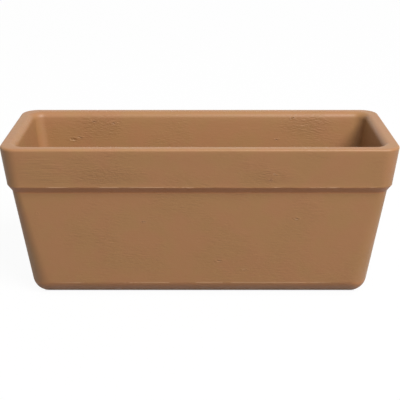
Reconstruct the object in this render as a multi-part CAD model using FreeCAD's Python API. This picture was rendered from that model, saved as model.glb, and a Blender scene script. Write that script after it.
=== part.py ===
import FreeCAD, Part
import math
import os

from FreeCAD import Placement, Rotation, Vector

# Window box planter, in millimetres and degrees.
# The origin is on the ground under the middle of the box. X runs along the box, -Y is its front, +Z is up.

# Box, outside
rim_length = 508.0
rim_width = 203.0
box_height = 212.8
rim_corner_radius = 22.9
rim_outer_rounding = 3.0
band_height = 52.4
band_draft = 6.8
band_foot_corner_radius = 19.2
band_edge_rounding = 1.6
shoulder_inset = 5.9
shoulder_height = 8.4
shoulder_cove = 3.0
body_draft = 6.6
body_top_corner_radius = 13.4
body_base_corner_radius = 24.8
base_rounding = 21.0

# Box, inside
rim_thickness = 19.3
rim_inner_rounding = 7.4
inner_draft = 7.0
inner_corner_radius = 15.0
floor_height = 18.0
floor_fillet = 9.0

# Box, underside
foot_land = 12.0
underside_recess = 8.0
underside_corner_radius = 10.0
vent_notch_width = 36.0
vent_notch_height = 5.0
drain_hole_radius = 9.0
drain_funnel_radius = 14.0
drain_funnel_depth = 4.0
drain_spacing = 130.0

# Drain plugs
plug_squeeze_clearance = 0.05
plug_tip_chamfer = 1.5
plug_tip_below_floor = 1.0
plug_head_radius = 15.0
plug_head_thickness = 3.0
plug_bar_length = 20.0
plug_bar_width = 4.0
plug_bar_height = 3.5
plug_bar_rounding = 1.2

# Reservoir shelf
shelf_height = 36.0
shelf_gap = 1.5
shelf_plate = 2.6
shelf_skirt_depth = 6.0
shelf_skirt_wall = 2.2
well_spacing = 250.0
well_top_radius = 31.0
well_foot_radius = 27.0
well_wall = 2.2
well_window_width = 5.0
well_window_height = 17.0
well_window_count = 10
rib_depth = 3.4
rib_wall = 2.2
leg_width = 16.0
leg_edge_clearance = 4.0
leg_inner_spacing = 124.0
slot_width = 5.0
slot_pitch = 14.0
slot_margin = 4.0
finger_slot_length = 64.0
finger_slot_width = 22.0
finger_slot_collar = 3.4


def slope(draft):
    """How far a wall with this draft moves in for each millimetre down."""
    return math.tan(math.radians(draft))


# Heights on the outside, from the ground up
body_top_height = box_height - band_height - shoulder_height
band_foot_height = box_height - band_height

# How far the outside stands in from the rim's edge, which is widest where its rounding begins
band_top_inset = rim_outer_rounding - rim_outer_rounding / math.tan(math.radians(45 - band_draft / 2))
band_foot_inset = band_top_inset + band_height * slope(band_draft)
body_top_inset = band_foot_inset + shoulder_inset
body_foot_inset = body_top_inset + body_top_height * slope(body_draft)
base_rounding_reach = base_rounding / math.tan(math.radians(45 + body_draft / 2))
base_flat_inset = body_foot_inset + base_rounding_reach

# Underside and plugs
recess_inset = base_flat_inset + foot_land
drain_places = {"left": -drain_spacing / 2, "right": drain_spacing / 2}

# Shelf
shelf_top = floor_height + shelf_height
shelf_underside = shelf_top - shelf_plate
well_places = (-well_spacing / 2, well_spacing / 2)


def inner_inset(height):
    """How far the inside wall stands in from the rim's edge at a height above the ground."""
    return rim_thickness + (box_height - height) * slope(inner_draft)


def rounded_outline(inset, radius, height):
    """A rounded rectangle that stands in from the rim's edge by inset."""
    half_x = rim_length / 2 - inset
    half_y = rim_width / 2 - inset
    straight_x = half_x - radius
    straight_y = half_y - radius
    diagonal = radius * math.sqrt(0.5)
    edges = []
    for turn in range(4):
        across, along = (straight_x, straight_y) if turn % 2 == 0 else (straight_y, straight_x)
        placement = Placement(Vector(0, 0, height), Rotation(Vector(0, 0, 1), 90 * turn))
        side_start = placement.multVec(Vector(across + radius, -along, 0))
        side_end = placement.multVec(Vector(across + radius, along, 0))
        arc_middle = placement.multVec(Vector(across + diagonal, along + diagonal, 0))
        arc_end = placement.multVec(Vector(across, along + radius, 0))
        edges.append(Part.LineSegment(side_start, side_end).toShape())
        edges.append(Part.Arc(side_end, arc_middle, arc_end).toShape())
    return Part.Wire(edges)


def loft(lower, upper):
    return Part.makeLoft([lower, upper], True, True)


def flat_edges(shape, height):
    """The edges of a shape that lie in one level plane."""
    found = []
    for edge in shape.Edges:
        box = edge.BoundBox
        if abs(box.ZMin - height) < 0.001 and abs(box.ZMax - height) < 0.001:
            found.append(edge)
    return found


def edges_standing_in(shape, height, inset):
    """The level edges that lie on the outline with this inset from the rim's edge."""
    half_x = rim_length / 2 - inset
    half_y = rim_width / 2 - inset
    found = []
    for edge in flat_edges(shape, height):
        box = edge.BoundBox
        reach_x = max(abs(box.XMin), abs(box.XMax))
        reach_y = max(abs(box.YMin), abs(box.YMax))
        if abs(reach_x - half_x) < 0.01 or abs(reach_y - half_y) < 0.01:
            found.append(edge)
    return found


def make_outside():
    body = loft(
        rounded_outline(body_foot_inset, body_base_corner_radius, 0),
        rounded_outline(body_top_inset, body_top_corner_radius, body_top_height),
    )
    body = body.makeFillet(base_rounding, flat_edges(body, 0))
    shoulder = loft(
        rounded_outline(body_top_inset, body_top_corner_radius, body_top_height),
        rounded_outline(band_foot_inset, band_foot_corner_radius, band_foot_height),
    )
    band = loft(
        rounded_outline(band_foot_inset, band_foot_corner_radius, band_foot_height),
        rounded_outline(band_top_inset, rim_corner_radius, box_height),
    )
    outside = body.fuse([shoulder, band])
    outside = outside.makeFillet(shoulder_cove, flat_edges(outside, body_top_height))
    outside = outside.makeFillet(band_edge_rounding, flat_edges(outside, band_foot_height))
    return outside.makeFillet(rim_outer_rounding, flat_edges(outside, box_height))


def make_cavity():
    cavity = loft(
        rounded_outline(inner_inset(floor_height), inner_corner_radius, floor_height),
        rounded_outline(rim_thickness, inner_corner_radius, box_height),
    )
    return cavity.makeFillet(floor_fillet, flat_edges(cavity, floor_height))


def make_underside_cuts():
    panel = Part.Face(rounded_outline(recess_inset, underside_corner_radius, 0))
    recess = panel.extrude(Vector(0, 0, underside_recess))
    notch = Part.makeBox(
        rim_length,
        vent_notch_width,
        vent_notch_height,
        Vector(-rim_length / 2, -vent_notch_width / 2, 0),
    )
    cuts = [recess, notch]
    funnel_foot = floor_height - drain_funnel_depth
    for x in drain_places.values():
        hole = Part.makeCylinder(drain_hole_radius, floor_height, Vector(x, 0, 0))
        funnel = Part.makeCone(
            drain_hole_radius, drain_funnel_radius, drain_funnel_depth, Vector(x, 0, funnel_foot)
        )
        cuts += [hole, funnel]
    return cuts


def make_planter_box():
    box = make_outside().cut([make_cavity()])
    box = box.makeFillet(rim_inner_rounding, edges_standing_in(box, box_height, rim_thickness))
    return box.cut(make_underside_cuts())


def make_drain_plug(x):
    """A rubber bung: a stem in the hole, a head against the underside and a bar to pull it by."""
    stem_radius = drain_hole_radius - plug_squeeze_clearance
    stem_length = floor_height - plug_tip_below_floor - underside_recess
    stem = Part.makeCylinder(stem_radius, stem_length, Vector(x, 0, underside_recess))
    stem = stem.makeChamfer(plug_tip_chamfer, flat_edges(stem, underside_recess + stem_length))
    head_foot = underside_recess - plug_head_thickness
    head = Part.makeCylinder(plug_head_radius, plug_head_thickness, Vector(x, 0, head_foot))
    bar_foot = head_foot - plug_bar_height
    bar = Part.makeBox(
        plug_bar_length,
        plug_bar_width,
        plug_bar_height,
        Vector(x - plug_bar_length / 2, -plug_bar_width / 2, bar_foot),
    )
    bar = bar.makeFillet(plug_bar_rounding, flat_edges(bar, bar_foot))
    return stem.fuse([head, bar]).removeSplitter()


def make_slot(x, y, length_x, length_y, depth):
    """A round-ended slot through the shelf's plate, down from its top."""
    radius = min(length_x, length_y) / 2
    reach_x = length_x / 2 - radius
    reach_y = length_y / 2 - radius
    foot = shelf_top - depth
    ends = [
        Part.makeCylinder(radius, depth, Vector(x - reach_x, y - reach_y, foot)),
        Part.makeCylinder(radius, depth, Vector(x + reach_x, y + reach_y, foot)),
    ]
    side_x = reach_x if reach_x > 0 else radius
    side_y = reach_y if reach_y > 0 else radius
    middle = Part.makeBox(2 * side_x, 2 * side_y, depth, Vector(x - side_x, y - side_y, foot))
    return middle.fuse(ends).removeSplitter()


# Where the shelf's legs and ribs stand: the outer legs keep clear of the floor's fillet
floor_flat_inset = inner_inset(floor_height) + floor_fillet
leg_reach_x = rim_length / 2 - floor_flat_inset - leg_edge_clearance - leg_width / 2
leg_reach_y = rim_width / 2 - floor_flat_inset - leg_edge_clearance - leg_width / 2
leg_columns = (-leg_reach_x, -leg_inner_spacing / 2, leg_inner_spacing / 2, leg_reach_x)
leg_rows = (-leg_reach_y, leg_reach_y)


def make_shelf_tray():
    """The plate with its turned-down skirt, which follows the inside wall of the box."""
    skirt_foot = shelf_top - shelf_skirt_depth
    outer_foot = inner_inset(skirt_foot) + shelf_gap
    outer_top = inner_inset(shelf_top) + shelf_gap
    corner = inner_corner_radius - shelf_gap
    tray = loft(
        rounded_outline(outer_foot, corner, skirt_foot),
        rounded_outline(outer_top, corner, shelf_top),
    )
    plate_inset = inner_inset(shelf_underside) + shelf_gap
    inner_corner = corner - shelf_skirt_wall
    hollow = loft(
        rounded_outline(outer_foot + shelf_skirt_wall, inner_corner, skirt_foot),
        rounded_outline(plate_inset + shelf_skirt_wall, inner_corner, shelf_underside),
    )
    return tray.cut([hollow])


def make_ribs():
    rib_foot = shelf_underside - rib_depth
    half_x = rim_length / 2 - inner_inset(shelf_underside) - shelf_gap - shelf_skirt_wall
    half_y = rim_width / 2 - inner_inset(shelf_underside) - shelf_gap - shelf_skirt_wall
    ribs = []
    for y in leg_rows:
        corner = Vector(-half_x, y - rib_wall / 2, rib_foot)
        ribs.append(Part.makeBox(2 * half_x, rib_wall, rib_depth, corner))
    for x in leg_columns:
        corner = Vector(x - rib_wall / 2, -half_y, rib_foot)
        ribs.append(Part.makeBox(rib_wall, 2 * half_y, rib_depth, corner))
    return ribs


def make_legs():
    """Legs with a cross-shaped section, which stand flat on the floor of the box."""
    height = shelf_underside - floor_height
    legs = []
    for x in leg_columns:
        for y in leg_rows:
            along = Vector(x - leg_width / 2, y - rib_wall / 2, floor_height)
            across = Vector(x - rib_wall / 2, y - leg_width / 2, floor_height)
            legs.append(Part.makeBox(leg_width, rib_wall, height, along))
            legs.append(Part.makeBox(rib_wall, leg_width, height, across))
    return legs


def make_well_outside(x):
    return Part.makeCone(well_foot_radius, well_top_radius, shelf_height, Vector(x, 0, floor_height))


def make_well_cuts(x):
    """The well's hollow, and the windows in its wall that let the water in."""
    inside_depth = shelf_height - well_wall
    hollow = Part.makeCone(
        well_foot_radius - well_wall,
        well_top_radius - well_wall,
        inside_depth,
        Vector(x, 0, floor_height + well_wall),
    )
    cuts = [hollow]
    for step in range(well_window_count):
        window = Part.makeBox(
            well_top_radius,
            well_window_width,
            well_window_height,
            Vector(0, -well_window_width / 2, floor_height + well_wall),
        )
        window.Placement = Placement(
            Vector(x, 0, 0), Rotation(Vector(0, 0, 1), 360 * (step + 0.5) / well_window_count)
        ).multiply(window.Placement)
        cuts.append(window)
    return cuts


def slot_is_clear(x, y_low, y_high):
    """Whether a drain slot keeps its margin to the ribs, the wells and the finger slot."""
    margin = slot_margin + slot_width / 2
    for column in leg_columns:
        if abs(x - column) < margin + rib_wall / 2:
            return False
    nearest_y = max(y_low, -y_high, 0)
    for well in well_places:
        if math.hypot(x - well, nearest_y) < well_top_radius + margin:
            return False
    beside_finger_slot = abs(x) < finger_slot_length / 2 + margin
    return not (beside_finger_slot and nearest_y < finger_slot_width / 2 + slot_margin)


def make_drain_slots():
    half_x = rim_length / 2 - inner_inset(shelf_top) - shelf_gap
    half_y = rim_width / 2 - inner_inset(shelf_top) - shelf_gap
    edge = shelf_skirt_wall + slot_margin
    rib_side = leg_reach_y + rib_wall / 2 + slot_margin
    inner_side = leg_reach_y - rib_wall / 2 - slot_margin
    middle_low = finger_slot_width / 2 + slot_margin
    bands = [(rib_side, half_y - edge), (middle_low, inner_side)]
    bands += [(-high, -low) for low, high in bands]
    bands.append((-middle_low + slot_margin, middle_low - slot_margin))
    columns = int((half_x - edge - slot_width / 2) / slot_pitch)
    slots = []
    for step in range(-columns, columns + 1):
        x = step * slot_pitch
        for low, high in bands:
            if high - low > slot_width and slot_is_clear(x, low, high):
                slots.append(make_slot(x, (low + high) / 2, slot_width, high - low, shelf_plate))
    return slots


def make_reservoir_shelf():
    collar_depth = shelf_plate + finger_slot_collar
    collar = make_slot(
        0, 0, finger_slot_length + 2 * rib_wall, finger_slot_width + 2 * rib_wall, collar_depth
    )
    solids = make_ribs() + make_legs() + [collar]
    solids += [make_well_outside(x) for x in well_places]
    shelf = make_shelf_tray().fuse(solids)
    cuts = make_drain_slots()
    cuts.append(make_slot(0, 0, finger_slot_length, finger_slot_width, collar_depth))
    for x in well_places:
        cuts += make_well_cuts(x)
    return shelf.cut(cuts).removeSplitter()


def save(name, shape):
    solids = shape.Solids
    solid = solids[0]
    print(name, "solids", len(solids), "valid", shape.isValid(), "litres", round(solid.Volume / 1e6, 4))
    solid.exportStep(os.path.join("parts", name + ".step"))


os.makedirs("parts", exist_ok=True)
save("planter_box", make_planter_box())
save("reservoir_shelf", make_reservoir_shelf())
for side, place in drain_places.items():
    save("drain_plug_" + side, make_drain_plug(place))
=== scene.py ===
import math

import bmesh
import bpy
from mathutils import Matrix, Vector


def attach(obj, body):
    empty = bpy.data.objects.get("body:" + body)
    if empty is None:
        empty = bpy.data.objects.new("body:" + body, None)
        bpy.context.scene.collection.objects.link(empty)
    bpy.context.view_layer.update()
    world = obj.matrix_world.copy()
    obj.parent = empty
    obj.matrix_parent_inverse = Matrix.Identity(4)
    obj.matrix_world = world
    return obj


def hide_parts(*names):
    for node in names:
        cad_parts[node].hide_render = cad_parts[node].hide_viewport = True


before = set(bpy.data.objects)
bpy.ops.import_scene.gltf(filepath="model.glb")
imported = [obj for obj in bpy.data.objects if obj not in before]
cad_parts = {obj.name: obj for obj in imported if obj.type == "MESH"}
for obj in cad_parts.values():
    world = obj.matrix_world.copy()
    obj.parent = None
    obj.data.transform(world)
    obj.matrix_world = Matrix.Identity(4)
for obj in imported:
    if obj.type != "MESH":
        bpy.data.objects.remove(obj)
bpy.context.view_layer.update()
print("frame loaded:", ", ".join(sorted(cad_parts)))


# Shader helper: sockets that can be added, multiplied and so on in plain Python

class Wire:
    def __init__(self, tree, socket):
        self.tree = tree
        self.socket = socket

    def math(self, operation, first, second):
        return self.tree.math(operation, first, second)

    def __add__(self, other):
        return self.math("ADD", self, other)

    def __sub__(self, other):
        return self.math("SUBTRACT", self, other)

    def __mul__(self, other):
        return self.math("MULTIPLY", self, other)


class NodeTree:
    def __init__(self, owner):
        owner.use_nodes = True
        self.tree = owner.node_tree
        self.tree.nodes.clear()

    def node(self, kind, settings=None, sockets=None, output=0):
        made = self.tree.nodes.new(kind)
        for name, value in (settings or {}).items():
            setattr(made, name, value)
        for name, value in (sockets or {}).items():
            if isinstance(value, Wire):
                self.tree.links.new(value.socket, made.inputs[name])
            else:
                made.inputs[name].default_value = value
        return Wire(self, made.outputs[output] if made.outputs else None)

    def places(self, stretch=(1, 1, 1)):
        # the piece's own coordinates in metres, stretched where a pattern runs one way
        coordinates = self.node("ShaderNodeTexCoord", output="Object")
        if stretch == (1, 1, 1):
            return coordinates
        return self.node("ShaderNodeMapping", {}, {"Vector": coordinates, "Scale": stretch})

    def noise(self, size, detail=3, roughness=0.5, stretch=(1, 1, 1)):
        # soft noise from 0 to 1 with patches about this size in metres
        return self.node(
            "ShaderNodeTexNoise",
            {},
            {"Vector": self.places(stretch), "Scale": 1 / size, "Detail": detail, "Roughness": roughness},
        )

    def between(self, value, low, high, to=(0, 1)):
        # a smooth step from one value to another
        return self.node(
            "ShaderNodeMapRange",
            {"interpolation_type": "SMOOTHSTEP"},
            {"Value": value, "From Min": low, "From Max": high, "To Min": to[0], "To Max": to[1]},
        )

    def along(self, axis):
        return self.node("ShaderNodeSeparateXYZ", {}, {0: self.places()}, output=axis)

    def math(self, operation, first, second=0.0):
        # second is left unused where the operation takes one value
        return self.node("ShaderNodeMath", {"operation": operation}, {0: first, 1: second})

    def vector(self, operation, sockets, output=0):
        return self.node("ShaderNodeVectorMath", {"operation": operation}, sockets, output=output)

    def distanceTo(self, value, target):
        return self.math("ABSOLUTE", value - target)

    def outerReach(self, halfSize):
        # how far a place lies outside a level rectangle about the middle, below 0 inside it
        across = [self.math("ABSOLUTE", self.along(axis)) - half for axis, half in zip("XY", halfSize)]
        return self.math("MAXIMUM", across[0], across[1])

    def raggedPlaces(self, size, amount):
        # coordinates shaken by a fine noise, for outlines that aren't smooth
        shake = self.node(
            "ShaderNodeTexNoise", {}, {"Vector": self.places(), "Scale": 1 / size}, output="Color")
        centred = self.vector("SUBTRACT", {0: shake, 1: (0.5, 0.5, 0.5)})
        scaled = self.vector("SCALE", {0: centred, "Scale": amount})
        return self.vector("ADD", {0: self.places(), 1: scaled})

    def gapFrom(self, places, centre, reach):
        # distance from a centre, 1 on the surface of an ellipsoid with these half axes
        scaled = self.vector("DIVIDE", {0: self.vector("SUBTRACT", {0: places, 1: centre}), 1: reach})
        return self.vector("LENGTH", {0: scaled}, output="Value")

    def cells(self, places, spacing):
        # scattered points: the distance to the nearest, in spacings, and that point's own random share
        settings = {"Vector": places, "Scale": 1 / spacing}
        gap = self.node("ShaderNodeTexVoronoi", {}, settings, output="Distance")
        tone = self.node("ShaderNodeTexVoronoi", {}, settings, output="Color")
        return {"gap": gap, "share": self.node("ShaderNodeSeparateXYZ", {}, {0: tone}, output="X")}

    def blend(self, amount, first, second):
        # the colour sockets of the mix node are known by their numbers
        return self.node(
            "ShaderNodeMix",
            {"data_type": "RGBA", "blend_type": "MIX"},
            {0: amount, 6: first, 7: second},
            output=2,
        )

    def bump(self, height):
        return self.node("ShaderNodeBump", {}, {"Height": height, "Strength": 1, "Distance": 1})


def colour(red, green, blue):
    # a colour as a paint program gives it, from 0 to 255, made linear for the shader
    linear = []
    for part in (red / 255, green / 255, blue / 255):
        linear.append(part / 12.92 if part <= 0.04045 else ((part + 0.055) / 1.055) ** 2.4)
    return (*linear, 1)


def grey(tone):
    return (tone, tone, tone, 1)


# Camera: fitted to the outline of the box in the photograph

cameraPlace = {
    "distance": 1.25098,  # in front of the middle of the box
    "height": 0.55626,
    "downwards": 19.64,  # degrees
    "lens": 86.38,  # in millimetres, as the sensor
    "sensor": 36,
    "shift": 0.0009,  # in picture widths
}


def makeCamera():
    bpy.ops.object.camera_add(
        location=(0, -cameraPlace["distance"], cameraPlace["height"]),
        rotation=(math.radians(90 - cameraPlace["downwards"]), 0, 0),
    )
    camera = bpy.context.object
    camera.name = "camera"
    camera.data.lens = cameraPlace["lens"]
    camera.data.sensor_width = cameraPlace["sensor"]
    camera.data.shift_x = cameraPlace["shift"]
    bpy.context.scene.camera = camera
    print("camera made")


# Light: a large softbox from the front right, a low one that fills the back, a white room, a pale floor

studio = {
    "keyTowards": (0.55, -0.72, 1.0),
    "keyPower": 516,
    "fillTowards": (-0.05, 1.0, 0.1),
    "fillPower": 135,
    "softboxDistance": 6.0,
    "softboxSize": 3.5,
    "roomLight": 0.4,  # what the room gives the object
    "backgroundWhite": 1.0,
    "floorSize": 14,
    "floorDrop": 0.0002,  # keeps the floor just under the box
    "floorTone": 0.2,  # what the floor throws back at the box
    "floorPaleTone": 0.75,  # what the camera and glosses see of it
    "shadowShare": 0.05,  # how much of the floor's own shading the camera sees
    "underGlow": 0.7,
    "underHalfSize": (0.211, 0.0585),  # the part of the floor that glows, hidden under the box
}


def makeStudio():
    for which in ("key", "fill"):
        towards = Vector(studio[which + "Towards"]).normalized()
        bpy.ops.object.light_add(type="AREA", location=towards * studio["softboxDistance"])
        softbox = bpy.context.object
        softbox.name = which + "Softbox"
        softbox.rotation_euler = towards.to_track_quat("Z", "Y").to_euler()
        softbox.data.shape = "DISK"
        softbox.data.size = studio["softboxSize"]
        softbox.data.energy = studio[which + "Power"]
        softbox.visible_glossy = which == "key"

    world = bpy.data.worlds.new("white room")
    bpy.context.scene.world = world
    room = NodeTree(world)
    seen = whatIsSeen(room)
    strength = seen * (studio["backgroundWhite"] - studio["roomLight"]) + studio["roomLight"]
    light = room.node("ShaderNodeBackground", {}, {"Color": grey(1), "Strength": strength})
    room.node("ShaderNodeOutputWorld", {}, {"Surface": light})
    print("studio made")


def whatIsSeen(tree):
    # 1 for rays that see the background directly, in a gloss or through glass
    seen = None
    for rays in ("Is Camera Ray", "Is Glossy Ray", "Is Transmission Ray"):
        path = tree.node("ShaderNodeLightPath", output=rays)
        seen = path if seen is None else tree.math("MAXIMUM", seen, path)
    return seen


def mixShaders(tree, share, first, second):
    return tree.node("ShaderNodeMixShader", {}, {0: share, 1: first, 2: second})


def makeFloor():
    bpy.ops.object.select_all(action="DESELECT")
    bpy.ops.mesh.primitive_plane_add(size=studio["floorSize"], location=(0, 0, -studio["floorDrop"]))
    floor = bpy.context.object
    floor.name = "floor"
    bpy.ops.object.transform_apply(location=True, rotation=True, scale=True)
    material = bpy.data.materials.new("pale floor")
    tree = NodeTree(material)
    matt = tree.node("ShaderNodeBsdfDiffuse", {}, {"Color": grey(studio["floorTone"])})
    pale = tree.node("ShaderNodeBsdfDiffuse", {}, {"Color": grey(studio["floorPaleTone"])})
    glow = tree.node("ShaderNodeEmission", {}, {"Color": grey(studio["backgroundWhite"]), "Strength": 1})
    direct = tree.node("ShaderNodeLightPath", output="Is Camera Ray")
    shown = mixShaders(tree, direct * (1 - studio["shadowShare"]), pale, glow)
    top = mixShaders(tree, whatIsSeen(tree), matt, shown)
    # under the box, where nothing sees it from above, the floor glows a little for a look from below
    under = tree.math("LESS_THAN", tree.outerReach(studio["underHalfSize"]), 0)
    glimmer = tree.node("ShaderNodeEmission", {}, {"Color": grey(1), "Strength": studio["underGlow"]})
    top = mixShaders(tree, under, top, glimmer)
    fromBelow = tree.node("ShaderNodeNewGeometry", output="Backfacing")
    surface = mixShaders(tree, fromBelow, top, tree.node("ShaderNodeBsdfTransparent"))
    tree.node("ShaderNodeOutputMaterial", {}, {"Surface": surface})
    floor.data.materials.append(material)
    print("floor made")


# Modelling helpers

def startPiece(name):
    # an empty mesh at the origin, open in edit mode
    bpy.ops.object.select_all(action="DESELECT")
    bpy.ops.mesh.primitive_plane_add(size=1, location=(0, 0, 0))
    piece = bpy.context.object
    piece.name = name
    piece.data.name = name
    bpy.ops.object.mode_set(mode="EDIT")
    bpy.ops.mesh.delete(type="VERT")
    return piece


def selectWhere(kind, test):
    # selects the vertices, edges or faces that pass a test, and nothing else
    bpy.ops.mesh.select_all(action="DESELECT")
    mesh = bmesh.from_edit_mesh(bpy.context.object.data)
    for part in getattr(mesh, kind):
        if test(part):
            part.select_set(True)
    mesh.select_flush_mode()
    bmesh.update_edit_mesh(bpy.context.object.data)


def applyModifier(piece, kind, **settings):
    modifier = piece.modifiers.new(kind.title(), kind)
    for name, value in settings.items():
        setattr(modifier, name, value)
    bpy.context.view_layer.objects.active = piece
    bpy.ops.object.modifier_apply(modifier=modifier.name)


# Planter box: one moulding, built as level sections from the underside, up the outside, over the rim
# and down the inside. A section is (inset from the rim's edge, corner radius, height).

planter = {
    "length": 0.508,
    "width": 0.203,
    "height": 0.2128,
    "rimCorner": 0.0229,
    "rimOuterRounding": 0.003,
    "rimCrown": 0.00002,  # the rim's top rises this much towards its inner side
    "bandFoot": 0.1604,  # height of the band's lower edge
    "bandFootInset": 0.00587,
    "bandFootCorner": 0.0192,
    "bandDraft": 6.8,
    "bandEdgeRounding": 0.0014,
    "bandLip": 0.00018,  # how far the lower edge of the band is turned out
    "bandLipHeight": 0.0028,
    "bandLipTurn": 4,  # degrees by which the edge's rounding goes past the band's own tilt
    "waveLength": 0.04,  # the lower edge of the band rises and falls a little
    "waveHeight": 0.0009,
    "waveReach": 0.0021,  # how far under the band's edge the wave still reaches
    "waveOver": 0.0001,  # and over the band's lip
    "waveDepth": 0.012,  # and how far inwards
    "shoulderInset": 0.0059,
    "shoulderHeight": 0.0084,
    "shoulderCove": 0.003,
    "bodyDraft": 6.35,
    "bodyTopCorner": 0.0134,
    "creaseHeight": 0.0189,  # where the body turns in to the base
    "creaseCorner": 0.0271,
    "creaseSoftness": 0.0007,
    "baseSlopeAtCrease": 17,
    "baseSlopeAtFoot": 62,
    "baseFootCorner": 0.0049,
    "baseFootRounding": 0.0025,
    "footInset": 0.0601,  # inner edge of the foot ring
    "footCorner": 0.010,
    "footEdge": 0.0006,
    "underside": 0.008,  # depth of the recess under the floor
    "innerTopInset": 0.0182,
    "innerCorner": 0.015,
    "innerRounding": 0.0093,
    "innerDraft": 7.38,
    "floorTop": 0.018,
    "floorFillet": 0.009,
    "cornerSegments": 12,
    "longCuts": 64,
    "shortCuts": 20,
    "smoothUpTo": 32,  # degrees between two faces that still look like one
    "levelSlack": 1e-6,  # how far off a point may be and still lie on a section
    "outlineSlack": 1e-5,
    "ventWidth": 0.036,
    "ventHeight": 0.005,
    "drainRadius": 0.009,
    "drainSegments": 48,
    "drillLength": 0.04,  # well past the floor on both sides
    "drillHeight": 0.01,
    "funnelRadius": 0.014,
    "funnelDepth": 0.004,
    "funnelOver": 0.001,  # how far the funnel's cutter stands over the floor
    "drainSpacing": 0.130,
}


def roundingSections(centreInset, centreHeight, radius, fromAngle, toAngle, steps, cornerReach):
    # sections round an edge; the angle is the tilt of the face's outward direction above level, and a
    # hollow's radius is below 0
    sections = []
    for step in range(steps + 1):
        angle = math.radians(fromAngle + (toAngle - fromAngle) * step / steps)
        inset = centreInset - radius * math.cos(angle)
        sections.append((inset, cornerReach - inset, centreHeight + radius * math.sin(angle)))
    return sections


def cornerCentre(inset, height, radius, lowerAngle, upperAngle):
    # the centre of the rounding of a corner between two faces with these tilts
    middle = math.radians((lowerAngle + upperAngle) / 2)
    reach = radius / math.cos(math.radians(upperAngle - lowerAngle) / 2)
    return inset + reach * math.cos(middle), height - reach * math.sin(middle)


def baseSections():
    # from the underside to the crease, where the slope grows evenly as the base turns under
    size = planter
    steps = 8
    turn = (size["baseSlopeAtFoot"] - size["baseSlopeAtCrease"]) / steps
    rounding = size["baseFootRounding"]
    lowest = rounding * (1 - math.sin(math.radians(size["baseSlopeAtFoot"])))
    drop = (size["creaseHeight"] - lowest) / steps
    inset = creaseInset()
    corner = size["creaseCorner"]
    cornerStep = (size["creaseCorner"] - size["baseFootCorner"]) / steps
    sections = [(inset, corner, size["creaseHeight"])]
    for step in range(1, steps + 1):
        inset += drop * math.tan(math.radians(size["baseSlopeAtCrease"] + turn * (step - 0.5)))
        sections.append((inset, corner - cornerStep * step, size["creaseHeight"] - drop * step))
    centre = inset + rounding * math.cos(math.radians(size["baseSlopeAtFoot"]))
    foot = roundingSections(centre, rounding, rounding, -size["baseSlopeAtFoot"], -90, 4,
                            inset + size["baseFootCorner"])
    return (sections + foot[1:])[::-1]


def creaseInset():
    rise = planter["bandFoot"] - planter["shoulderHeight"] - planter["creaseHeight"]
    return bodyTopInset() + rise * math.tan(math.radians(planter["bodyDraft"]))


def bodyTopInset():
    return planter["bandFootInset"] + planter["shoulderInset"]


def innerInset(height):
    depth = planter["height"] - height
    return planter["innerTopInset"] + depth * math.tan(math.radians(planter["innerDraft"]))


def boxSections():
    # every section with the number of even steps that lead up to it
    size = planter
    sections = [(0, (size["footInset"], size["footCorner"], size["underside"]))]
    edge = roundingSections(size["footInset"] - size["footEdge"], size["footEdge"], size["footEdge"],
                            -180, -90, 3, size["footInset"] + size["footCorner"])
    sections += [(1, section) for section in edge]
    sections += [(0, section) for section in baseSections()]

    soft = size["creaseSoftness"]
    inset = creaseInset()
    sections.append((0, (inset - soft * math.tan(math.radians(size["bodyDraft"])), size["creaseCorner"],
                         size["creaseHeight"] + soft)))

    shoulderSlope = math.degrees(math.atan2(size["shoulderInset"], size["shoulderHeight"]))
    bodyTop = size["bandFoot"] - size["shoulderHeight"]
    hollow = -size["shoulderCove"]
    centre = cornerCentre(bodyTopInset(), bodyTop, hollow, -size["bodyDraft"], -shoulderSlope)
    cove = roundingSections(*centre, hollow, -size["bodyDraft"], -shoulderSlope, 4,
                            bodyTopInset() + size["bodyTopCorner"])
    sections.append((20, cove[0]))
    sections += [(0, section) for section in cove[1:]]

    bandInset = size["bandFootInset"] - size["bandLip"]
    rounding = size["bandEdgeRounding"]
    centre = cornerCentre(bandInset, size["bandFoot"], rounding, -shoulderSlope, -size["bandDraft"])
    edge = roundingSections(*centre, rounding, -shoulderSlope, size["bandLipTurn"] - size["bandDraft"], 4,
                            bandInset + size["bandFootCorner"])
    sections.append((1, edge[0]))
    sections += [(0, section) for section in edge[1:]]
    lipTop = size["bandFoot"] + size["bandLipHeight"]
    lipInset = size["bandFootInset"] - size["bandLipHeight"] * math.tan(math.radians(size["bandDraft"]))
    sections.append((1, (lipInset, size["bandFootCorner"], lipTop)))

    rounding = size["rimOuterRounding"]
    rim = roundingSections(rounding, size["height"] - rounding - size["rimCrown"], rounding,
                           -size["bandDraft"], 90, 7, size["rimCorner"])
    sections.append((8, rim[0]))
    sections += [(0, section) for section in rim[1:]]

    rounding = size["innerRounding"]
    innerTilt = 180 - size["innerDraft"]
    centre = innerInset(size["height"] - rounding) - rounding / math.cos(math.radians(size["innerDraft"]))
    rim = roundingSections(centre, size["height"] - rounding, rounding, 90, innerTilt, 9,
                           size["innerTopInset"] + size["innerCorner"])
    sections.append((2, rim[0]))
    sections += [(0, section) for section in rim[1:]]

    rounding = size["floorFillet"]
    level = size["floorTop"] + rounding
    centre = innerInset(level) + rounding / math.cos(math.radians(size["innerDraft"]))
    wallFoot = centre - rounding * math.cos(math.radians(size["innerDraft"]))
    floor = roundingSections(centre, level, -rounding, innerTilt, 90, 6, wallFoot + size["innerCorner"])
    sections.append((26, floor[0]))
    sections += [(0, section) for section in floor[1:]]
    return sections


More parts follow.
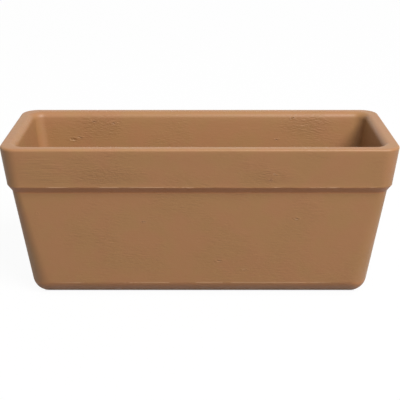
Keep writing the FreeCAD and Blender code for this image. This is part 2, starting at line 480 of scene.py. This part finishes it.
def addSection(section):
    # a rounded rectangle of edges, the same number on every section so that two can be bridged
    inset, corner, height = section
    halfLength = planter["length"] / 2 - inset
    halfWidth = planter["width"] / 2 - inset
    bpy.ops.mesh.select_all(action="DESELECT")
    bpy.ops.mesh.primitive_plane_add(size=2, location=(0, 0, height))
    bpy.ops.transform.resize(value=(halfLength, halfWidth, 1), center_override=(0, 0, height))
    bpy.ops.mesh.bevel(offset=corner, segments=planter["cornerSegments"], affect="VERTICES", profile=0.5)
    bpy.ops.mesh.delete(type="ONLY_FACE")
    for axis, cuts in (("x", planter["longCuts"]), ("y", planter["shortCuts"])):
        shortest = planter["width"] / 4
        selectWhere("edges", lambda edge: not edge.link_faces
                    and abs(getattr(edge.verts[0].co - edge.verts[1].co, axis)) > shortest)
        bpy.ops.mesh.subdivide(number_cuts=cuts)


def isOn(section, point):
    # whether a point lies on a section
    inset, corner, height = section
    if abs(point.z - height) > planter["levelSlack"]:
        return False
    acrossX = abs(point.x) - (planter["length"] / 2 - inset - corner)
    acrossY = abs(point.y) - (planter["width"] / 2 - inset - corner)
    gap = math.hypot(max(acrossX, 0), max(acrossY, 0)) + min(max(acrossX, acrossY), 0) - corner
    return abs(gap) < planter["outlineSlack"]


def cutAway(piece, cutter):
    # takes the cutter's shape out of the piece
    applyModifier(piece, "BOOLEAN", object=cutter, operation="DIFFERENCE", solver="EXACT")
    bpy.data.objects.remove(cutter)


def cutBaseOpenings(piece):
    size = planter
    bpy.ops.mesh.primitive_cube_add(size=1, location=(0, 0, 0))
    vent = bpy.context.object
    bpy.ops.transform.resize(value=(size["length"], size["ventWidth"], 2 * size["ventHeight"]))
    bpy.ops.object.transform_apply(location=True, rotation=True, scale=True)
    cutAway(piece, vent)
    for side in (-1, 1):
        x = side * size["drainSpacing"] / 2
        bpy.ops.mesh.primitive_cylinder_add(
            vertices=size["drainSegments"], radius=size["drainRadius"],
            depth=size["drillLength"], location=(x, 0, size["drillHeight"]))
        cutAway(piece, bpy.context.object)
        slope = (size["funnelRadius"] - size["drainRadius"]) / size["funnelDepth"]
        over = size["funnelOver"]
        bpy.ops.mesh.primitive_cone_add(
            vertices=size["drainSegments"],
            radius1=size["drainRadius"],
            radius2=size["funnelRadius"] + over * slope,
            depth=size["funnelDepth"] + over,
            location=(x, 0, size["floorTop"] - size["funnelDepth"] / 2 + over / 2),
        )
        cutAway(piece, bpy.context.object)


def waveBandEdge(piece):
    # the lower edge of the band isn't quite straight
    size = planter
    name = "band edge"
    low = size["bandFoot"] - size["waveReach"]
    high = size["bandFoot"] + size["bandLipHeight"] + size["waveOver"]
    halfLength, halfWidth = size["length"] / 2, size["width"] / 2
    selectWhere("verts", lambda vertex: low < vertex.co.z < high and max(
        abs(vertex.co.x) - halfLength, abs(vertex.co.y) - halfWidth) > -size["waveDepth"])
    piece.vertex_groups.new(name=name)
    bpy.ops.object.vertex_group_assign()
    bpy.ops.object.mode_set(mode="OBJECT")
    clouds = bpy.data.textures.new(name, "CLOUDS")
    clouds.noise_scale = size["waveLength"]
    applyModifier(piece, "DISPLACE", texture=clouds, texture_coords="LOCAL", direction="Z",
                  vertex_group=name, strength=size["waveHeight"], mid_level=0.5)


def makePlanterBox():
    piece = startPiece("planterBox")
    last = None
    for cuts, section in boxSections():
        addSection(section)
        if last:
            selectWhere("verts", lambda vertex: isOn(last, vertex.co) or isOn(section, vertex.co))
            bpy.ops.mesh.bridge_edge_loops(number_cuts=cuts, interpolation="LINEAR")
        else:
            selectWhere("verts", lambda vertex: isOn(section, vertex.co))
            bpy.ops.mesh.edge_face_add()
        last = section
    selectWhere("verts", lambda vertex: isOn(last, vertex.co))
    bpy.ops.mesh.edge_face_add()
    bpy.ops.mesh.select_all(action="SELECT")
    bpy.ops.mesh.normals_make_consistent(inside=False)
    waveBandEdge(piece)
    cutBaseOpenings(piece)
    bpy.context.view_layer.objects.active = piece
    piece.select_set(True)
    bpy.ops.object.shade_smooth_by_angle(angle=math.radians(planter["smoothUpTo"]))
    piece.data.materials.append(resin())
    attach(piece, "box")
    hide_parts("planter_box")
    print("planter box made:", len(piece.data.polygons), "faces")


# Moulded resin: a matt brown with a slate-like grain and a few nicks; painted highlights as pale lines on
# two edges, and painted shade as a redder tone on the shoulder and base

resinLook = {
    "warmTone": colour(151, 107, 71),
    "oliveTone": colour(149, 109, 70),
    # painted highlight: the pale tone of the lines along the band's lower edge and the crease
    "highlightTone": colour(190, 148, 112),
    "darkTone": colour(118, 78, 47),
    # painted shade: the redder tone of the shoulder and the base
    "paintedShadeTone": colour(159, 105, 66),
    "mottleShare": 0.16,
    "mottleRange": (0.3, 0.9),
    "mottleGrain": 0.35,
    "roughness": 0.46,
    "roughnessSpread": 0.12,
    "gloss": 0.34,
    "patchSize": 0.035,
    "patchRange": (0.35, 0.65),
    "slateSize": 0.0065,
    "slateStretch": (1, 1, 3.4),
    "slateDepth": 0.0006,
    "brushSize": 0.03,
    "brushStretch": (1, 1, 18),
    "brushDepth": 0.0007,
    "brushFade": (0.4, 1.1),  # from the middle of the brushed place, in reaches
    "brushRest": 0.08,  # how much of it is left elsewhere
    "grainSize": 0.0012,
    "grainDepth": 0.00003,
    "roughPatchSize": 0.075,  # where the slate-like grain is strong and where it is faint
    "roughPatchRange": (0.42, 0.62),
    "roughAmount": (0.2, 0.7),
    "grainyFade": (0.3, 1.2),  # from the middle of a grainy place, in reaches
    "grainyAmount": 0.7,
    "nickDepth": 0.0006,
    "nickSpacing": 0.055,
    "nickReach": 0.0022,
    "nickShare": 0.3,  # how many of the scattered places really have a nick
    "nickStrength": 0.6,  # how deep those are beside the ones that show in the photograph
    "nickRaggedSize": 0.004,
    "nickRaggedness": 0.006,
    "highlightSize": 0.045,
    "highlightRange": (0.62, 0.72),
    "creaseHighlightFull": 0.15,  # the painted highlight on the crease fades from here to its end, counted from the middle
    "creaseHighlightEnd": 0.205,
}

# painted highlight along an edge: its height, how far inside the rim's outline it lies, how far from the
# edge it is full and where it ends, how much of the length carries it, and how pale it is
bandEdgeHighlight = {
    "height": 0.1607,
    "reach": 0.012,
    "full": 0.0003,
    "end": 0.0011,
    "share": 0.14,
    "strength": 0.7,
}
creaseHighlight = {
    "height": planter["creaseHeight"],
    "reach": 0.032,
    "full": 0.0004,
    "end": 0.0014,
    "share": 0.2,
    "strength": 0.5,
}

# painted shade: the redder places where shade falls, the shoulder about its middle and the base under the
# crease
paintedShade = {
    "shoulderMiddle": 0.1556,
    "shoulderFull": 0.0040,
    "shoulderEnd": 0.0058,
    "shoulderReach": 0.014,
    "baseFull": 0.0178,
    "baseEnd": 0.0190,
    "baseReach": 0.050,
    "baseStrength": 0.5,
}

# nicks that show in the photograph: (x, y, z, half length), in metres
nickPlaces = [
    (-0.1813, 0.0795, 0.1745, 0.0042),
    (-0.1712, 0.0795, 0.1773, 0.0026),
    (-0.1505, 0.0822, 0.2003, 0.0030),
    (-0.1234, 0.0820, 0.1974, 0.0030),
    (0.1328, 0.0826, 0.2046, 0.0026),
    (0.1105, 0.0792, 0.1745, 0.0020),
    (0.0946, -0.0978, 0.1789, 0.0020),
    (0.0898, -0.0968, 0.1706, 0.0020),
    (0.0263, -0.0780, 0.0524, 0.0032),
    (0.0598, -0.0765, 0.0387, 0.0026),
    (0.1258, -0.0850, 0.1148, 0.0024),
    (-0.0730, -0.0845, 0.1104, 0.0020),
]

# a nick's section, counted from its middle with 1 at its edge, and its reach for a half length of 1
nickForm = {
    "dent": (0.1, 1.0),
    "lipRise": (0.8, 1.2),
    "lipFall": (2.2, 1.3),
    "lipHeight": 0.3,
    "length": 1.3,
    "height": 0.42,
    "through": 0.008,  # in metres, through the wall's face
}

# where the grain shows most: (centre, reach), in metres
grainyPlaces = [
    ((-0.150, 0.082, 0.190), (0.055, 0.030, 0.024)),
    ((0.150, 0.082, 0.196), (0.050, 0.030, 0.018)),
    ((0.096, -0.098, 0.178), (0.030, 0.020, 0.012)),
    ((-0.110, -0.099, 0.178), (0.060, 0.020, 0.014)),
]
brushedPlace = ((-0.200, -0.099, 0.186), (0.032, 0.040, 0.024))


def paintedEdgeHighlight(tree, highlight):
    # 1 along a level edge on the outside of the box, where a painted highlight lies, broken up along its
    # length
    near = tree.between(tree.distanceTo(tree.along("Z"), highlight["height"]), highlight["end"], highlight["full"])
    patches = tree.noise(resinLook["highlightSize"], detail=5, roughness=0.65)
    unlit, full = resinLook["highlightRange"]
    brokenUp = tree.between(patches, unlit - highlight["share"], full - highlight["share"])
    return near * brokenUp * onOutside(tree, highlight["reach"])


def onOutside(tree, reach):
    # 1 on the outer faces, which lie less than this far inside the rim's outline
    halfSize = (planter["length"] / 2, planter["width"] / 2)
    return tree.between(tree.outerReach(halfSize), -reach - 0.001, -reach)


def paintedShadePlaces(tree):
    # 1 on the shoulder and the turned-in base, where painted shade makes the resin redder
    place = paintedShade
    gap = tree.distanceTo(tree.along("Z"), place["shoulderMiddle"])
    shoulder = tree.between(gap, place["shoulderEnd"], place["shoulderFull"])
    base = tree.between(tree.along("Z"), place["baseEnd"], place["baseFull"])
    base = base * onOutside(tree, place["baseReach"]) * place["baseStrength"]
    return shoulder * onOutside(tree, place["shoulderReach"]) + base


def nickShape(tree, gap):
    # a shallow dent with a raised lip: gap is 1 at its edge
    form = nickForm
    dent = tree.between(gap, *form["dent"], to=(-1, 0))
    lip = tree.between(gap, *form["lipRise"]) * tree.between(gap, *form["lipFall"])
    return dent + lip * form["lipHeight"]


def nicks(tree, look):
    # the placed nicks, each a flat ellipsoid with a ragged outline, and the scattered ones
    ragged = tree.raggedPlaces(look["nickRaggedSize"], look["nickRaggedness"])
    total = None
    for x, y, z, halfLength in nickPlaces:
        reach = (halfLength * nickForm["length"], nickForm["through"], halfLength * nickForm["height"])
        shape = nickShape(tree, tree.gapFrom(ragged, (x, y, z), reach))
        total = shape if total is None else total + shape
    cells = tree.cells(ragged, look["nickSpacing"])
    chosen = tree.math("LESS_THAN", cells["share"], look["nickShare"])
    scattered = nickShape(tree, cells["gap"] * (look["nickSpacing"] / look["nickReach"]))
    return total + scattered * chosen * look["nickStrength"]


def resin():
    look = resinLook
    material = bpy.data.materials.new("moulded resin")
    tree = NodeTree(material)
    patches = tree.noise(look["patchSize"], detail=3, roughness=0.5)
    slate = tree.noise(look["slateSize"], detail=4, roughness=0.55, stretch=look["slateStretch"])
    grain = tree.noise(look["grainSize"], detail=3, roughness=0.6)
    roughPatches = tree.noise(look["roughPatchSize"], detail=2)
    rough = tree.between(roughPatches, *look["roughPatchRange"], to=look["roughAmount"])
    for centre, reach in grainyPlaces:
        gap = tree.gapFrom(tree.places(), centre, reach)
        rough = rough + tree.between(gap, *look["grainyFade"], to=(look["grainyAmount"], 0))
    brushed = tree.noise(look["brushSize"], detail=4, roughness=0.6, stretch=look["brushStretch"])
    gap = tree.gapFrom(tree.places(), *brushedPlace)
    brushed = brushed * tree.between(gap, *look["brushFade"], to=(1, look["brushRest"]))

    hue = tree.blend(tree.between(patches, *look["patchRange"]), look["warmTone"], look["oliveTone"])
    mottle = slate * rough + grain * look["mottleGrain"]
    mottled = tree.blend(tree.between(mottle, *look["mottleRange"]), hue, look["darkTone"])
    hue = tree.blend(look["mottleShare"], hue, mottled)
    # painted shade: the shoulder and the base are made redder
    hue = tree.blend(paintedShadePlaces(tree), hue, look["paintedShadeTone"])
    fromMiddle = tree.distanceTo(tree.along("X"), 0)
    awayFromEnds = tree.between(fromMiddle, look["creaseHighlightEnd"], look["creaseHighlightFull"])
    # painted highlight: pale lines along the band's lower edge and the crease
    highlight = paintedEdgeHighlight(tree, bandEdgeHighlight) * bandEdgeHighlight["strength"]
    highlight = highlight + paintedEdgeHighlight(tree, creaseHighlight) * awayFromEnds * creaseHighlight["strength"]
    base = tree.blend(highlight, hue, look["highlightTone"])

    depth = slate * rough * look["slateDepth"] + brushed * look["brushDepth"]
    depth = depth + grain * look["grainDepth"] + nicks(tree, look) * look["nickDepth"]
    spread = look["roughnessSpread"]
    shader = tree.node(
        "ShaderNodeBsdfPrincipled",
        {},
        {"Base Color": base, "Roughness": grain * spread + (look["roughness"] - spread / 2),
         "Normal": tree.bump(depth), "Specular IOR Level": look["gloss"]},
    )
    tree.node("ShaderNodeOutputMaterial", {}, {"Surface": shader})
    return material


# Water parts: the reservoir shelf and the drain plugs keep the shape of the CAD

waterParts = {
    "edgeRounding": 0.00035,
    "shelfTone": colour(24, 24, 25),
    "shelfScuffTone": colour(46, 46, 47),
    "shelfRoughness": 0.42,
    "shelfGrain": 0.0009,
    "shelfGrainDepth": 0.00003,
    "plugTone": colour(17, 17, 17),
    "plugDustTone": colour(38, 37, 35),
    "plugRoughness": 0.72,
    "plugGrain": 0.0005,
    "plugGrainDepth": 0.00004,
    "scuffSize": 0.018,
    "scuffRange": (0.5, 0.72),
    "scuffPaleness": 0.35,
    "grainPaleness": 0.12,
    "scuffRoughness": 0.14,
    "grainRoughness": 0.1,
    "mergeGap": 0.00001,
    "flatUpTo": 1,  # degrees between two faces that are really one
    "roundedFrom": 35,  # degrees from which an edge is rounded
    "smoothUpTo": 40,  # degrees between two faces that still look like one
}


def darkFinish(name, tone, palerTone, roughness, grainSize, grainDepth):
    # black plastic or rubber with a fine grain and paler scuffs
    look = waterParts
    material = bpy.data.materials.new(name)
    tree = NodeTree(material)
    grain = tree.noise(grainSize, detail=3, roughness=0.6)
    scuffs = tree.noise(look["scuffSize"], detail=6, roughness=0.72)
    scuffed = tree.between(scuffs, *look["scuffRange"])
    base = tree.blend(scuffed * look["scuffPaleness"] + grain * look["grainPaleness"], tone, palerTone)
    spread = look["grainRoughness"]
    rough = scuffed * look["scuffRoughness"] + grain * spread + (roughness - spread / 2)
    shader = tree.node(
        "ShaderNodeBsdfPrincipled",
        {},
        {"Base Color": base, "Roughness": rough, "Normal": tree.bump(grain * grainDepth)},
    )
    tree.node("ShaderNodeOutputMaterial", {}, {"Surface": shader})
    return material


def softEdgedCopy(node, name):
    # the CAD node's own shape with its loose triangles joined and its edges softened
    look = waterParts
    bpy.ops.object.select_all(action="DESELECT")
    piece = bpy.data.objects.new(name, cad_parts[node].data.copy())
    bpy.context.collection.objects.link(piece)
    bpy.context.view_layer.objects.active = piece
    piece.select_set(True)
    bpy.ops.object.mode_set(mode="EDIT")
    bpy.ops.mesh.select_all(action="SELECT")
    bpy.ops.mesh.remove_doubles(threshold=look["mergeGap"])
    bpy.ops.mesh.customdata_custom_splitnormals_clear()
    bpy.ops.mesh.dissolve_limited(angle_limit=math.radians(look["flatUpTo"]))
    bpy.ops.object.mode_set(mode="OBJECT")
    applyModifier(piece, "BEVEL", width=look["edgeRounding"], segments=2, limit_method="ANGLE",
                  angle_limit=math.radians(look["roundedFrom"]), use_clamp_overlap=True)
    bpy.ops.object.shade_smooth_by_angle(angle=math.radians(look["smoothUpTo"]))
    applyModifier(piece, "WEIGHTED_NORMAL", weight=80, keep_sharp=True)
    piece.data.materials.clear()
    return piece


def makeShelf():
    look = waterParts
    piece = softEdgedCopy("reservoir_shelf", "reservoirShelf")
    piece.data.materials.append(darkFinish(
        "shelf plastic", look["shelfTone"], look["shelfScuffTone"],
        look["shelfRoughness"], look["shelfGrain"], look["shelfGrainDepth"]))
    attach(piece, "shelf")
    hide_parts("reservoir_shelf")
    print("shelf made:", len(piece.data.polygons), "faces")


def makePlugs():
    look = waterParts
    rubber = darkFinish(
        "plug rubber", look["plugTone"], look["plugDustTone"],
        look["plugRoughness"], look["plugGrain"], look["plugGrainDepth"])
    for side in ("left", "right"):
        piece = softEdgedCopy("drain_plug_" + side, side + "DrainPlug")
        piece.data.materials.append(rubber)
        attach(piece, "plug_" + side)
        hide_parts("drain_plug_" + side)
        print("plug made:", len(piece.data.polygons), "faces")


makeCamera()
makeStudio()
makeFloor()
makePlanterBox()
makeShelf()
makePlugs()
bpy.context.scene.view_settings.view_transform = "Standard"
